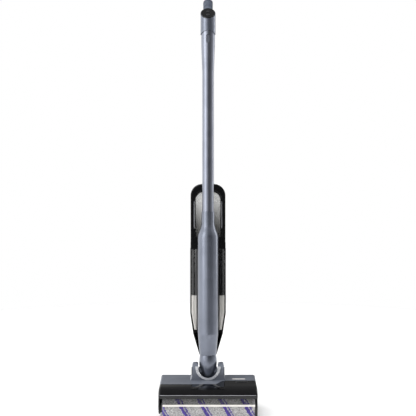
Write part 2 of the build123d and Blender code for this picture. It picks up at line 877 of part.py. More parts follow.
def make_clean_tank():
    base = clean_tank_base
    rear_wall = tank_rear - 3
    outside = arch(rear_wall, tank_width - 4, base, clean_tank_top, arch_corner)
    inside = arch(rear_wall - tank_wall, tank_width - 4 - 2 * tank_wall, base + tank_wall,
                  clean_tank_top - tank_wall, arch_corner - tank_wall)
    with BuildPart() as tank:
        extrude(outside, amount=rear_wall - clean_front)
        rear = tank.faces().sort_by(Axis(BODY.origin, BODY.y_dir))[-1]
        fillet(rear.edges().sort_by(BODY_AXIS)[1:], 12)
        extrude(inside, amount=rear_wall - clean_front - 2 * tank_wall, mode=Mode.SUBTRACT)
        with BuildSketch(level(clean_tank_top - 8)):
            with Locations((0, filler_back)):
                Circle(filler_radius)
        extrude(amount=20, mode=Mode.SUBTRACT)
    save(tank, "clean_tank")
    with BuildPart() as rim:
        rim_outline = arch(clean_front, tank_width - 2, base, clean_tank_top + 2, arch_corner)
        extrude(rim_outline, amount=rim_thickness)
        extrude(arch(clean_front, window_width, base + 8, window_top, arch_corner - 8),
                amount=rim_thickness, mode=Mode.SUBTRACT)
    save(rim, "clean_tank_rim")
    with BuildPart() as cap:
        with BuildSketch(level(clean_tank_top + gap)):
            with Locations((0, filler_back)):
                Circle(filler_radius + 4)
                with Locations((0, filler_radius + 4)):
                    Rectangle(12, 8)
        extrude(amount=4)
    save(cap, "filler_cap")


# ---------------------------------------------------------------- dirty water tank
def tank_section(height, width, inset):
    with BuildSketch(level(height)) as outline:
        with Locations((0, tank_middle)):
            RectangleRounded(width - 2 * inset, tank_depth - 2 * inset, tank_corner - inset)
    return outline.sketch


pipe_radius = 11
float_radius = 22
dirty_base = shelf_top + slide_gap


def make_dirty_tank():
    with BuildPart() as tank:
        inner_base = dirty_base + tank_wall
        for base, inset, mode in ((dirty_base, 0, Mode.ADD), (inner_base, tank_wall, Mode.SUBTRACT)):
            foot = tank_section(base, tank_foot_width, inset)
            shoulder = tank_section(tank_shoulder, tank_width, inset)
            loft([foot, shoulder], ruled=True, mode=mode)
            extrude(shoulder, amount=dirty_tank_top - tank_shoulder, mode=mode)
        with BuildSketch(level(dirty_base - 1, riser_back)):
            Circle(pipe_radius - 1.5)
        extrude(amount=6, mode=Mode.SUBTRACT)
    save(tank, "dirty_tank")
    lid_base = dirty_tank_top + 0.1
    with BuildPart() as lid:
        extrude(tank_section(lid_base, tank_width, 0), amount=dirty_lid_top - lid_base)
        lid_inside = tank_section(lid_base, tank_width, 3)
        extrude(lid_inside, amount=dirty_lid_top - lid_base - 3, mode=Mode.SUBTRACT)
        with BuildSketch(facing(tank_rear + 1, (lid_base + dirty_lid_top) / 2)):
            Rectangle(26 + 2 * gap, 10 + 2 * gap)
        extrude(amount=8, mode=Mode.SUBTRACT)
    save(lid, "dirty_tank_lid")
    with BuildPart() as latch:
        with BuildSketch(facing(tank_rear + 1, (lid_base + dirty_lid_top) / 2)):
            RectangleRounded(26, 10, 2)
        extrude(amount=8)
    save(latch, "tank_latch")
    with BuildPart() as pipe:
        with BuildSketch(level(dirty_base + tank_wall, riser_back)):
            Circle(pipe_radius)
            Circle(pipe_radius - 1.5, mode=Mode.SUBTRACT)
        extrude(amount=186)
    save(pipe, "inlet_pipe")
    with BuildPart() as ball:
        with BuildSketch(level(dirty_base + 30, riser_back)):
            Circle(float_radius)
            Circle(pipe_radius + 1, mode=Mode.SUBTRACT)
        extrude(amount=14)
        fillet(ball.edges().filter_by(GeomType.CIRCLE).sort_by(SortBy.RADIUS)[-2:], 2)
    save(ball, "float")
    with BuildPart() as stop:
        with BuildSketch(level(dirty_base + 26, riser_back)):
            Circle(pipe_radius + 3)
            Circle(pipe_radius, mode=Mode.SUBTRACT)
        extrude(amount=3)
    save(stop, "float_stop")


cage_base = 204
cage_top = 312
cage_width = tank_width - 2 * tank_wall - 3
cage_depth = 50
cage_corner = tank_corner - tank_wall - 3
slot_x = 35.5            # the slots show on both sides of the spine
slot_width = 3
rib_pitch = 7.5
rib_count = 4


def make_strainer():
    with BuildPart() as cage:
        with BuildSketch(level(cage_base)):
            with Locations((0, tank_middle)):
                RectangleRounded(cage_width, cage_depth, cage_corner)
        extrude(amount=cage_top - cage_base)
        with BuildSketch(level(cage_base + 2)):
            with Locations((0, tank_middle)):
                RectangleRounded(cage_width - 4, cage_depth - 4, cage_corner - 2)
        extrude(amount=cage_top, mode=Mode.SUBTRACT)
        with BuildSketch(level(cage_base - 1, riser_back)):
            Circle(pipe_radius + gap)
        extrude(amount=6, mode=Mode.SUBTRACT)
        # on each side a ribbed grate below, a tall slot above it and a round vent at the top
        grate_top = cage_base + 8 + rib_count * rib_pitch
        slot_length = cage_top - grate_top - 24
        for hand in (-1, 1):
            with BuildSketch(facing(tank_rear)):
                with Locations((hand * slot_x, (cage_base + 8 + grate_top) / 2)):
                    with GridLocations(1, rib_pitch, 1, rib_count):
                        Rectangle(2 * slot_width, rib_pitch - 3)
                with Locations((hand * slot_x, grate_top + slot_length / 2)):
                    SlotOverall(slot_length, slot_width, rotation=90)
                with Locations((hand * (slot_x + 3), cage_top - 11)):
                    Circle(2.5)
            extrude(amount=tank_depth, mode=Mode.SUBTRACT)
    save(cage, "strainer")
    with BuildPart() as funnel:
        for inset, mode in ((0, Mode.ADD), (2, Mode.SUBTRACT)):
            with BuildSketch(level(cage_top + 1 + inset)):
                with Locations((0, tank_middle)):
                    RectangleRounded(46 - 2 * inset, 30 - 2 * inset, 6)
            with BuildSketch(level(cage_top + 20 + inset / 4)):
                with Locations((0, tank_middle)):
                    RectangleRounded(cage_width - 2 * inset, 52 - 2 * inset, cage_corner - inset)
            loft(ruled=True, mode=mode)
        with BuildSketch(level(cage_top, tank_middle)):
            Circle(8)
        extrude(amount=6, mode=Mode.SUBTRACT)
    save(funnel, "separator_funnel")
    with BuildPart() as pleats:
        with BuildSketch(level(dirty_tank_top + 1)):
            with Locations((0, tank_middle)):
                RectangleRounded(70, 40, 10)
                with GridLocations(6, 1, 9, 1):
                    Rectangle(2.5, 30, mode=Mode.SUBTRACT)
        extrude(amount=12)
    save(pleats, "filter")


# ---------------------------------------------------------------- pole and handle
release_height = 925
release_width = 11
release_length = 24
handle_seam = pole_top

CONSOLE = Plane(
    origin=BODY.from_local_coords((0, 0, console_height)),
    x_dir=(1, 0, 0),
    z_dir=(0, -sin(radians(console_slope)), cos(radians(console_slope))),
)
GRIP = Plane(
    origin=BODY.from_local_coords((0, 0, grip_start)),
    x_dir=(1, 0, 0),
    z_dir=(0, cos(radians(grip_rise)), sin(radians(grip_rise))),
)


def arch_plug(radius):
    """Round bar across the handle, front to back, whose crown is the arched seam."""
    with BuildPart() as plug:
        with BuildSketch(facing(handle_radius * 2)):
            with Locations((0, pole_top - seam_arch)):
                Circle(radius)
        extrude(amount=handle_radius * 4)
    return plug.part


def make_pole():
    spigot = pole_top_radius - pole_wall
    with BuildPart() as pole:
        with BuildSketch(side()):
            with BuildLine():
                Polyline(
                    (pole_radius, pole_seat + gap), (pole_radius, taper_start),
                    (pole_top_radius, taper_end), (pole_top_radius, pole_top + 1),
                    (spigot, pole_top + 1), (spigot, pole_top + spigot_length),
                    (spigot - pole_wall, pole_top + spigot_length), (spigot - pole_wall, taper_end),
                    (pole_radius - pole_wall, taper_start - 10), (pole_radius - pole_wall, pole_seat + gap),
                    close=True,
                )
            make_face()
        revolve(axis=BODY_AXIS)
        # shoulders cut down to the arched seam, outside the spigot
        with BuildPart(mode=Mode.SUBTRACT):
            with BuildSketch(level(pole_top - seam_arch)):
                Circle(pole_top_radius + 5)
                Circle(spigot, mode=Mode.SUBTRACT)
            extrude(amount=seam_arch + 4)
            add(arch_plug(seam_arch), mode=Mode.SUBTRACT)
        with BuildSketch(facing(0, release_height)):
            SlotOverall(release_length, release_width, rotation=90)
        extrude(amount=pole_top_radius + 2, mode=Mode.SUBTRACT)
    save(pole, "pole")
    with BuildPart() as button:
        with BuildSketch(facing(-pole_top_radius + 6, release_height)):
            SlotOverall(release_length - 1.2, release_width - 1.2, rotation=90)
        extrude(amount=5.5)
        fillet(button.faces().sort_by(Axis(BODY.origin, BODY.y_dir))[0].edges(), 0.8)
    save(button, "release_button")


button_places = ((0, -9, 5.5), (0, 9, 4.5))
button_height = 3
button_travel = 1


def make_handle():
    inside = handle_radius - handle_wall
    with BuildPart() as shell:
        with BuildSketch(level(pole_top - seam_arch + 2)):
            Circle(handle_radius)
        extrude(amount=150)
        # the tube swells backward into the grip
        with BuildSketch(GRIP.offset(4)):
            Circle(handle_radius - 2)
        with BuildSketch(GRIP.offset(sleeve_start - gap)):
            Circle(grip_radius)
        loft()
        split(bisect_by=CONSOLE, keep=Keep.BOTTOM)
        add(arch_plug(seam_arch + gap), mode=Mode.SUBTRACT)
        with BuildSketch(level(handle_seam + spigot_length + 2)):
            Circle(inside)
        extrude(amount=140, mode=Mode.SUBTRACT)
        with BuildSketch(level(handle_seam - seam_arch)):
            Circle(pole_top_radius - pole_wall + gap)
        extrude(amount=60 + seam_arch, mode=Mode.SUBTRACT)
        with BuildSketch(GRIP.offset(sleeve_start - 1)):
            Circle(grip_core_radius)
        extrude(amount=grip_length - cap_length - sleeve_start + 1)
    save(shell, "handle_shell")
    with BuildPart() as console:
        with BuildSketch(level(handle_seam + spigot_length + 4)):
            Circle(inside - gap)
        extrude(amount=60)
        split(bisect_by=CONSOLE.offset(1.2), keep=Keep.BOTTOM)
        split(bisect_by=CONSOLE.offset(-7), keep=Keep.TOP)
        for x, y, radius in button_places:
            with BuildSketch(CONSOLE.offset(1.2 - button_height - button_travel + 0.2)):
                with Locations((x, y)):
                    Circle(radius + gap)
            extrude(amount=20, mode=Mode.SUBTRACT)
    save(console, "console")
    for name, (x, y, radius) in zip(("power_button", "mode_button"), button_places):
        with BuildPart() as button:
            with BuildSketch(CONSOLE.offset(1.2 - button_height + 0.6)):
                with Locations((x, y)):
                    Circle(radius)
            extrude(amount=button_height)
        save(button, name)
    with BuildPart() as sleeve:
        with BuildSketch(GRIP.offset(sleeve_start)):
            Circle(grip_radius)
            Circle(grip_core_radius, mode=Mode.SUBTRACT)
        extrude(amount=grip_length - cap_length - sleeve_start)
    save(sleeve, "grip_sleeve")
    with BuildPart() as cap:
        with BuildSketch(GRIP.offset(grip_length - cap_length)):
            Circle(grip_radius)
        extrude(amount=cap_length)
    save(cap, "grip_cap")


make_chassis()
make_head_cover()
make_yoke_trim()
make_pivot_caps()
make_suction_duct()
head_bar("squeegee_blade", fleece_length - 12, bay_wall + 9, sole_height / 2, 4, sole_height)
head_bar("roller_scraper", fleece_length - 12, bay_wall - 2, 42, 4, 3)
make_spray_bar()
make_brush_drive()
make_roller()
make_wheels()
make_head_trim()
make_front_cover()
make_neck()
make_spine()
make_cone()
make_back_frame()
make_riser()
make_power_pack()
make_clean_tank()
make_dirty_tank()
make_strainer()
make_pole()
make_handle()
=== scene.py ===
# %% [markdown]
# A wet dry floor scrubber: a wide head with a fleece roller, a leaning body with two water tanks,
# and a long pole with a curved grip. The CAD model already holds every hard piece at its true size,
# so Blender's work is the finishes, the light, and the soft pieces that solid modelling can't show.

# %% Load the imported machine
import math

import bmesh
import bpy
import numpy as np
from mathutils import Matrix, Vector


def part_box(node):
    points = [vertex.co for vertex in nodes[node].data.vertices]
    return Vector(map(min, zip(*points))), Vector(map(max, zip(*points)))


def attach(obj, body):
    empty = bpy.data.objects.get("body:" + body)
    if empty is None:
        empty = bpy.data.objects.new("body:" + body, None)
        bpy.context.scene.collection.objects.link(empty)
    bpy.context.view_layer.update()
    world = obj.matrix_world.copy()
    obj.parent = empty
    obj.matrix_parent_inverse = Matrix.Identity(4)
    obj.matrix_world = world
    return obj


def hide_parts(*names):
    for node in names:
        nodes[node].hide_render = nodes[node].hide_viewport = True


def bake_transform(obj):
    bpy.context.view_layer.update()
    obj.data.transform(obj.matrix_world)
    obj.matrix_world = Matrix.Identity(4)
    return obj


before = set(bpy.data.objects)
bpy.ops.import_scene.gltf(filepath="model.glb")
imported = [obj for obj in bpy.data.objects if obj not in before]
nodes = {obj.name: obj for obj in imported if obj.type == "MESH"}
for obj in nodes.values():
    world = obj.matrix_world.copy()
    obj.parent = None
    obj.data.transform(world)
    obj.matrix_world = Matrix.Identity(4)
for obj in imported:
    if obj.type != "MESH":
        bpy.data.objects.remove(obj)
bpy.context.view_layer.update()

MM = 0.001

# %% [markdown]
# Every finish is a node tree. Two helpers keep that short: one turns a colour that was picked on a
# screen (sRGB hex) into the linear light that Blender works in, the other adds one node of any kind
# with its settings and its links.

# %% Helpers for finishes
finishes = {}


def linear(colour):
    channels = [int(colour[i:i + 2], 16) / 255 for i in (1, 3, 5)]
    return tuple(c / 12.92 if c <= 0.04045 else ((c + 0.055) / 1.055) ** 2.4 for c in channels) + (1.0,)


def node(tree, kind, values=None, links=None, **settings):
    new = tree.nodes.new("ShaderNode" + kind)
    for name, setting in settings.items():
        setattr(new, name, setting)
    for socket, value in (values or {}).items():
        new.inputs[socket].default_value = value
    for socket, source in (links or {}).items():
        tree.links.new(source, new.inputs[socket])
    return new


def new_finish(name):
    """Store a new material under its name, and return its tree and its shader."""
    material = bpy.data.materials.new(name)
    material.use_nodes = True
    tree = material.node_tree
    tree.nodes.clear()
    shader = node(tree, "BsdfPrincipled")
    node(tree, "OutputMaterial", links={"Surface": shader.outputs["BSDF"]})
    finishes[name] = material
    return tree, shader


def set_shader(shader, **values):
    for name, value in values.items():
        shader.inputs[name.replace("_", " ")].default_value = value


print("linear mid grey:", [round(c, 3) for c in linear("#808080")])


# %% [markdown]
# Moulded and painted shells share three small facts of making: their colour drifts very slightly over
# a hand's width, their surface has a fine texture of a known grain, and their edges are never sharp,
# because the mould tool has a radius. The first is a large noise on the colour, the second a fine
# noise as bump, and the third a bevel on the shading normal, half a millimetre wide.

# %% Surface detail shared by the shells
def drift(tree, colour_a, colour_b, size_mm, detail=2.0):
    """Slow colour change between two hex colours, about size_mm across."""
    place = node(tree, "TexCoord").outputs["Object"]
    noise = node(tree, "TexNoise", {"Scale": 1000 / size_mm, "Detail": detail, "Roughness": 0.55},
                 {"Vector": place})
    soft = node(tree, "MapRange", {"From Min": 0.35, "From Max": 0.65}, {"Value": noise.outputs["Fac"]},
                interpolation_type="SMOOTHSTEP")
    mix = node(tree, "Mix", {6: linear(colour_a), 7: linear(colour_b)}, {0: soft.outputs[0]},
               data_type="RGBA")
    return mix.outputs[2]


def vary(tree, low, high, size_mm, detail=3.0):
    """A number that wanders between low and high, for roughness."""
    place = node(tree, "TexCoord").outputs["Object"]
    noise = node(tree, "TexNoise", {"Scale": 1000 / size_mm, "Detail": detail}, {"Vector": place})
    return node(tree, "MapRange", {"From Min": 0.3, "From Max": 0.7, "To Min": low, "To Max": high},
                {"Value": noise.outputs["Fac"]}).outputs[0]


def grain(tree, size_mm, depth_mm, edge_mm=0.5):
    """A shading normal with softened edges and a fine grain on top."""
    place = node(tree, "TexCoord").outputs["Object"]
    edge = node(tree, "Bevel", {"Radius": edge_mm * MM}, samples=4)
    texture = node(tree, "TexNoise", {"Scale": 1000 / size_mm}, {"Vector": place})
    bump = node(tree, "Bump", {"Strength": 1.0, "Distance": depth_mm * MM},
                {"Height": texture.outputs["Fac"], "Normal": edge.outputs[0]})
    return bump.outputs[0]


print("surface detail: colour drift, roughness drift, and grain over softened edges")

# %% [markdown]
# The grey shells are ABS sprayed with a metal-flake lacquer. Flakes a few hundredths of a millimetre
# across lie nearly flat in the paint, so the shell mirrors the studio softly like brushed metal, and
# sparkles a little up close. Metallic stays under 1 because the plastic under the flakes also shows.
# The pole is an aluminium tube in the same colour, with more metal and a smoother skin.

# %% Metal-flake paint
def flake_paint(name, dark, light, metallic, roughness, grain_mm=0.35):
    tree, shader = new_finish(name)
    colour = drift(tree, dark, light, 60)
    place = node(tree, "TexCoord").outputs["Object"]
    # real flake is 0.03 mm; drawn at 0.35 mm so that it still shows
    flakes = node(tree, "TexVoronoi", {"Scale": 1000 / grain_mm}, {"Vector": place})
    spark = node(tree, "MapRange", {"To Min": 0.95, "To Max": 1.05}, {"Value": flakes.outputs["Color"]})
    mix = node(tree, "Mix", {0: 1.0}, {6: colour, 7: spark.outputs[0]}, data_type="RGBA",
               blend_type="MULTIPLY")
    tree.links.new(mix.outputs[2], shader.inputs["Base Color"])
    tree.links.new(vary(tree, roughness - 0.02, roughness + 0.03, 25), shader.inputs["Roughness"])
    tree.links.new(grain(tree, grain_mm, 0.0015), shader.inputs["Normal"])
    set_shader(shader, Metallic=metallic, IOR=1.5, Coat_Weight=0.35, Coat_Roughness=0.12)


flake_paint("flake_lacquer_on_abs", "#6B707C", "#747985", 0.80, 0.31)
flake_paint("flake_lacquer_on_head_abs", "#6A6F7A", "#737883", 0.35, 0.36)
# painted highlight: the yoke trim follows the real rim round the yoke's cradle, and this pale silver
# paints the bright highlight along it
flake_paint("silver_flake_painted_highlight", "#C6C8CD", "#D6D8DC", 0.45, 0.26)
flake_paint("flake_lacquer_on_aluminium", "#7D818D", "#868A96", 0.92, 0.33)
print("painted:", list(finishes))

# %% [markdown]
# The black pieces are ABS in two moulds. A polished mould gives piano gloss: nearly no roughness and
# a faint orange-peel wave about 3 mm long. A spark-eroded mould gives an even, fine satin grain.
# The small pieces come from the same two kinds of mould, each in its own plastic: POM slides well, so
# it is used for strips and bearings, nitrile rubber and silicone seal and wipe.

# %% Moulded plastics and rubbers
def moulded(name, dark, light, roughness, grain_mm, depth_mm, ior=1.54, coat=0.0):
    tree, shader = new_finish(name)
    tree.links.new(drift(tree, dark, light, 40), shader.inputs["Base Color"])
    smoothest = max(roughness - 0.03, 0.02)
    tree.links.new(vary(tree, smoothest, roughness + 0.04, 12), shader.inputs["Roughness"])
    tree.links.new(grain(tree, grain_mm, depth_mm), shader.inputs["Normal"])
    set_shader(shader, IOR=ior, Coat_Weight=coat, Coat_Roughness=0.05)


moulded("polished_black_abs", "#060608", "#09090B", 0.07, 3.0, 0.01, ior=1.46, coat=0.08)
moulded("textured_black_abs", "#131316", "#1A1A1D", 0.42, 0.45, 0.03)
# pale grey that paints highlights: it colours the thin strips standing in for the light on the cover lip
# and the tank frame
moulded("pale_grey_highlight_paint", "#8B8C90", "#96979C", 0.3, 0.6, 0.012, ior=1.48)
moulded("white_pom", "#E4E0DB", "#EEEAE6", 0.38, 0.6, 0.015, ior=1.48)
moulded("purple_abs", "#3A1C86", "#46249A", 0.24, 0.8, 0.01)
moulded("pale_violet_abs", "#8A8692", "#95919D", 0.36, 0.5, 0.02)
moulded("black_nitrile_rubber", "#161617", "#202021", 0.62, 0.6, 0.06, ior=1.52)
moulded("wiper_silicone", "#2A2A2E", "#343438", 0.5, 0.7, 0.02, ior=1.41)
moulded("green_solder_mask", "#0E4A2A", "#125A33", 0.3, 1.6, 0.05)
moulded("pvc_cell_sleeve", "#2C5A80", "#336790", 0.3, 4.0, 0.03)
moulded("grey_acetal", "#B5B6BA", "#BFC0C4", 0.35, 0.6, 0.012)
print("moulded:", len(finishes))

# %% [markdown]
# The tanks are clear moulded plastic. Seen straight on, a thin clear wall shows what is behind it; at
# a glancing angle it mirrors the room. Alpha driven by how much the wall faces the eye does exactly
# that, and lets light through to the pieces inside. Both tanks change by height. The clean tank's
# colour is painted light: pale and clear at the top as a painted reflection of the bright room above,
# and darker and less clear toward its foot as painted shade. The dirty tank is smoked SAN above a
# clear foot that shows the level. The height comes from each point's place along the leaning body, so
# the colour stays on the plastic.

# %% Clear, tinted and smoked plastic, with painted light on the clean tank
LEAN = math.radians(4)
pin_lo, pin_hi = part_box("pivot_pins")
pivot = np.array([0.0, (pin_lo.y + pin_hi.y) / 2, (pin_lo.z + pin_hi.z) / 2])
up_body = np.array([0.0, math.sin(LEAN), math.cos(LEAN)])


def share_by_height(tree, start_mm, end_mm):
    """0 below start and 1 above end, measured along the body from the recline pivot."""
    place = node(tree, "TexCoord").outputs["Object"]
    along = node(tree, "VectorMath", {1: tuple(up_body)}, {0: place}, operation="DOT_PRODUCT")
    base = float(pivot @ up_body)
    return node(tree, "MapRange", {"From Min": base + start_mm * MM, "From Max": base + end_mm * MM},
                {"Value": along.outputs["Value"]}, interpolation_type="SMOOTHSTEP").outputs[0]


def clear_moulding(name, low, high, low_alpha, high_alpha, change_mm, middle_mm=0.0, roughness=0.04):
    """A clear wall whose colour and alpha go from low to high between the two heights in change_mm.
    Nearer the middle of the machine than middle_mm, it is all high."""
    tree, shader = new_finish(name)
    share = share_by_height(tree, *change_mm)
    across = node(tree, "SeparateXYZ", links={0: node(tree, "TexCoord").outputs["Object"]}).outputs["X"]
    sideways = node(tree, "Math", links={0: across}, operation="ABSOLUTE").outputs[0]
    middle = node(tree, "MapRange", {"From Min": middle_mm * MM, "From Max": (middle_mm - 0.8) * MM},
                  {"Value": sideways}).outputs[0]
    share = node(tree, "Math", links={0: share, 1: middle}, operation="MAXIMUM").outputs[0]
    if low == high:
        set_shader(shader, Base_Color=linear(low))
    else:
        colour = node(tree, "Mix", {6: linear(low), 7: linear(high)}, {0: share}, data_type="RGBA")
        tree.links.new(colour.outputs[2], shader.inputs["Base Color"])
    facing = node(tree, "MapRange", {"To Min": low_alpha, "To Max": high_alpha}, {"Value": share})
    edge = node(tree, "Bevel", {"Radius": 0.6 * MM}, samples=4).outputs[0]
    away = node(tree, "LayerWeight", {"Blend": 0.32}, {"Normal": edge}).outputs["Facing"]
    glance = node(tree, "MapRange", {"From Min": 0.35}, {"Value": away})
    alpha = node(tree, "Mix", {3: 0.95}, {0: glance.outputs[0], 2: facing.outputs[0]}, data_type="FLOAT")
    tree.links.new(alpha.outputs[0], shader.inputs["Alpha"])
    tree.links.new(vary(tree, roughness, roughness + 0.03, 9), shader.inputs["Roughness"])
    tree.links.new(grain(tree, 6.0, 0.01), shader.inputs["Normal"])
    set_shader(shader, IOR=1.57, Coat_Weight=0.2, Coat_Roughness=0.03)


# painted light: the clean tank goes from a dark painted shade at its foot to a pale painted reflection at
# its top
clear_moulding("clean_san_painted_light", "#6B6A68", "#E2E2E0", 0.72, 0.30, (370, 495))
clear_moulding("smoked_and_clear_san", "#D9D6D1", "#151518", 0.62, 0.72, (206, 210), middle_mm=33.0)
clear_moulding("clear_polycarbonate", "#3A3B3F", "#3A3B3F", 0.20, 0.20, (0, 1))
print("clear:", [n for n in finishes if "san" in n or "poly" in n])

# %% [markdown]
# Pins, axles, motors and contacts are metal. Metals are fully metallic and keep the default IOR;
# turned or drawn steel has fine lines along the way it was worked.

# %% Metals
def worked_metal(name, dark, light, roughness, stretch=(1.0, 1.0, 0.05), depth_mm=0.01):
    tree, shader = new_finish(name)
    place = node(tree, "TexCoord").outputs["Object"]
    turned = node(tree, "Mapping", {"Scale": stretch}, {"Vector": place})
    # turning lines 0.1 mm apart, drawn at 0.5 mm so that they show
    lines = node(tree, "TexNoise", {"Scale": 2000.0, "Detail": 2.0}, {"Vector": turned.outputs[0]})
    edge = node(tree, "Bevel", {"Radius": 0.4 * MM}, samples=4)
    bump = node(tree, "Bump", {"Strength": 1.0, "Distance": depth_mm * MM},
                {"Height": lines.outputs["Fac"], "Normal": edge.outputs[0]})
    tree.links.new(drift(tree, dark, light, 15), shader.inputs["Base Color"])
    tree.links.new(vary(tree, roughness - 0.04, roughness + 0.05, 5), shader.inputs["Roughness"])
    tree.links.new(bump.outputs[0], shader.inputs["Normal"])
    set_shader(shader, Metallic=1.0)


worked_metal("turned_steel", "#8E8F92", "#A3A4A7", 0.32)
worked_metal("plated_brass", "#B99A55", "#CBAA62", 0.25)
print("metals:", [n for n in finishes if n in ("turned_steel", "plated_brass")])

# %% [markdown]
# The filter at the top of the dirty tank is non-woven paper folded into pleats, so that a small
# cartridge holds a lot of surface. The folds are drawn as a wave, and the fibres as a fine noise.

# %% Filter paper
def filter_cloth():
    tree, shader = new_finish("pleated_filter_paper")
    place = node(tree, "TexCoord").outputs["Object"]
    # pleats 5 mm apart across the machine, fibres 0.5 mm long; a wave texture of scale 1 repeats
    # every 2 pi / 20 m
    pleat_scale = 2 * math.pi / (20 * 5.03 * MM)
    pleats = node(tree, "TexWave", {"Scale": pleat_scale, "Distortion": 0.2}, {"Vector": place},
                  bands_direction="X")
    fibres = node(tree, "TexNoise", {"Scale": 2000.0, "Detail": 6.0}, {"Vector": place})
    rise = node(tree, "Bump", {"Distance": 0.8 * MM}, {"Height": pleats.outputs["Fac"]})
    fuzz = node(tree, "Bump", {"Distance": 0.1 * MM},
                {"Height": fibres.outputs["Fac"], "Normal": rise.outputs[0]})
    tree.links.new(drift(tree, "#C9C8C2", "#D9D8D3", 3), shader.inputs["Base Color"])
    tree.links.new(fuzz.outputs[0], shader.inputs["Normal"])
    set_shader(shader, Roughness=0.95)


filter_cloth()
print("finishes so far:", len(finishes))

# %% [markdown]
# Each CAD node now gets the finish of the real piece. The table lists them by finish.

# %% Finish every CAD node
WEARS = {
    "flake_lacquer_on_head_abs": ["head_cover"],
    "flake_lacquer_on_abs": ["spine_shell", "neck", "handle_shell"],
    "flake_lacquer_on_aluminium": ["pole", "release_button"],
    "polished_black_abs": ["front_cover", "lower_cone", "back_frame", "clean_tank_rim", "console",
                           "dirty_tank_lid", "pivot_caps", "filler_cap"],
    "textured_black_abs": ["head_chassis", "riser_duct", "power_button", "mode_button", "roller_cap",
                           "battery_holder", "suction_duct", "spray_bar", "float_stop", "strainer",
                           "separator_funnel", "inlet_pipe", "cover_latch", "tank_latch",
                           "suction_motor", "water_pump"],
    # painted light: the clean tank's colour is a painted shade at the foot and a painted reflection at
    # the top
    "clean_san_painted_light": ["clean_tank"],
    "clear_polycarbonate": ["cover_window"],
    "smoked_and_clear_san": ["dirty_tank"],
    "white_pom": ["cover_strip", "badge"],
    # painted highlight along the rim of the yoke
    "silver_flake_painted_highlight": ["yoke_trim"],
    "purple_abs": ["roller_tab"],
    "pale_violet_abs": ["grip_cap"],
    "black_nitrile_rubber": ["rear_wheel_left", "rear_wheel_right", "drive_belt", "suction_hose",
                             "grip_sleeve"],
    "wiper_silicone": ["squeegee_blade", "roller_scraper"],
    "turned_steel": ["head_screws", "wheel_axles", "pivot_pins", "brush_motor", "motor_pulley"],
    "plated_brass": ["charging_contacts"],
    "green_solder_mask": ["circuit_board"],
    "pvc_cell_sleeve": ["battery_cells"],
    "grey_acetal": ["drive_hub", "roller_core", "roller_bearing", "impeller", "float", "roller_fleece"],
    "pleated_filter_paper": ["filter"],
}
for finish, names in WEARS.items():
    for name in names:
        mesh = nodes[name].data
        mesh.materials.clear()
        mesh.materials.append(finishes[finish])
unfinished = set(nodes) - {n for names in WEARS.values() for n in names}
print("nodes without a finish:", sorted(unfinished))

# %% [markdown]
# Three pieces are soft, and solid modelling only blocks them out: the fleece sleeve of the roller,
# the rubber skin of the grip and the bellows hose in the neck. All three are closed skins that run
# round an axis, so one helper turns a grid of points into a mesh: each row is a loop round the axis,
# and the last row, inside the bore, meets the first again. That leaves no open edge.

# %% A closed skin from a grid of points
scene = bpy.context.scene


def closed_skin(name, grid, finish):
    rows, around, _ = grid.shape
    index = np.arange(rows * around).reshape(rows, around)
    below = np.roll(index, -1, axis=0)
    quads = np.stack([index, np.roll(index, -1, axis=1), np.roll(below, -1, axis=1), below], axis=-1)
    mesh = bpy.data.meshes.new(name)
    mesh.from_pydata(grid.reshape(-1, 3).tolist(), [], quads.reshape(-1, 4).tolist())
    shape = bmesh.new()
    shape.from_mesh(mesh)
    bmesh.ops.recalc_face_normals(shape, faces=shape.faces)
    shape.to_mesh(mesh)
    shape.free()
    mesh.polygons.foreach_set("use_smooth", [True] * len(mesh.polygons))
    mesh.materials.append(finishes[finish])
    piece = bpy.data.objects.new(name, mesh)
    scene.collection.objects.link(piece)
    return piece


def round_axis(origin, along, across, lengths, radii, angles):
    """Points at each length and angle round an axis; radii may differ at every point."""
    along, across = np.array(along), np.array(across)
    third = np.cross(along, across)
    turn = np.cos(angles)[None, :, None] * across + np.sin(angles)[None, :, None] * third
    return np.array(origin) + lengths[:, None, None] * along + radii[..., None] * turn


# %% [markdown]
# The roller sleeve is woven microfibre with a tufted pile, mostly heather grey yarn with two purple
# stripes, one wide and one thin, that wind round it as a screw so that the roller wipes evenly. A pile
# could be hair, but hair is heavy and is lost in an export. Here each tuft is a small rounded hill in
# the mesh: a jittered grid of tuft centres, and every point rises with its distance to the nearest
# one. Each tuft takes one yarn colour, which is why the stripes have ragged edges, as woven ones do.

# %% Tufts of the fleece pile
sleeve_lo, sleeve_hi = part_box("roller_fleece")
roller_y, roller_z = (sleeve_lo.y + sleeve_hi.y) / 2, (sleeve_lo.z + sleeve_hi.z) / 2
sleeve_radius = (sleeve_hi.z - sleeve_lo.z) / 2
sleeve_length = sleeve_hi.x - sleeve_lo.x
TUFT = 2.3 * MM            # spacing of the tufts
PILE = 1.5 * MM            # height of a tuft over the ground weave
STEP = 0.75 * MM           # mesh spacing
BORE = sleeve_radius - 6.6 * MM
END_ROUND = 6 * MM         # radius of the rounded ends
BORE_SKIP = 12             # the smooth bore needs one row for every twelve of the pile
girth = 2 * math.pi * sleeve_radius
cells_round = round(girth / TUFT)
cells_long = math.ceil(sleeve_length / TUFT) + 2
random = np.random.default_rng(11)
offset_long = random.uniform(0.1, 0.9, (cells_long, cells_round))
offset_round = random.uniform(0.1, 0.9, (cells_long, cells_round))
tuft_height = random.uniform(0.7, 1.0, (cells_long, cells_round))
tuft_tone = random.uniform(0.0, 1.0, (cells_long, cells_round))

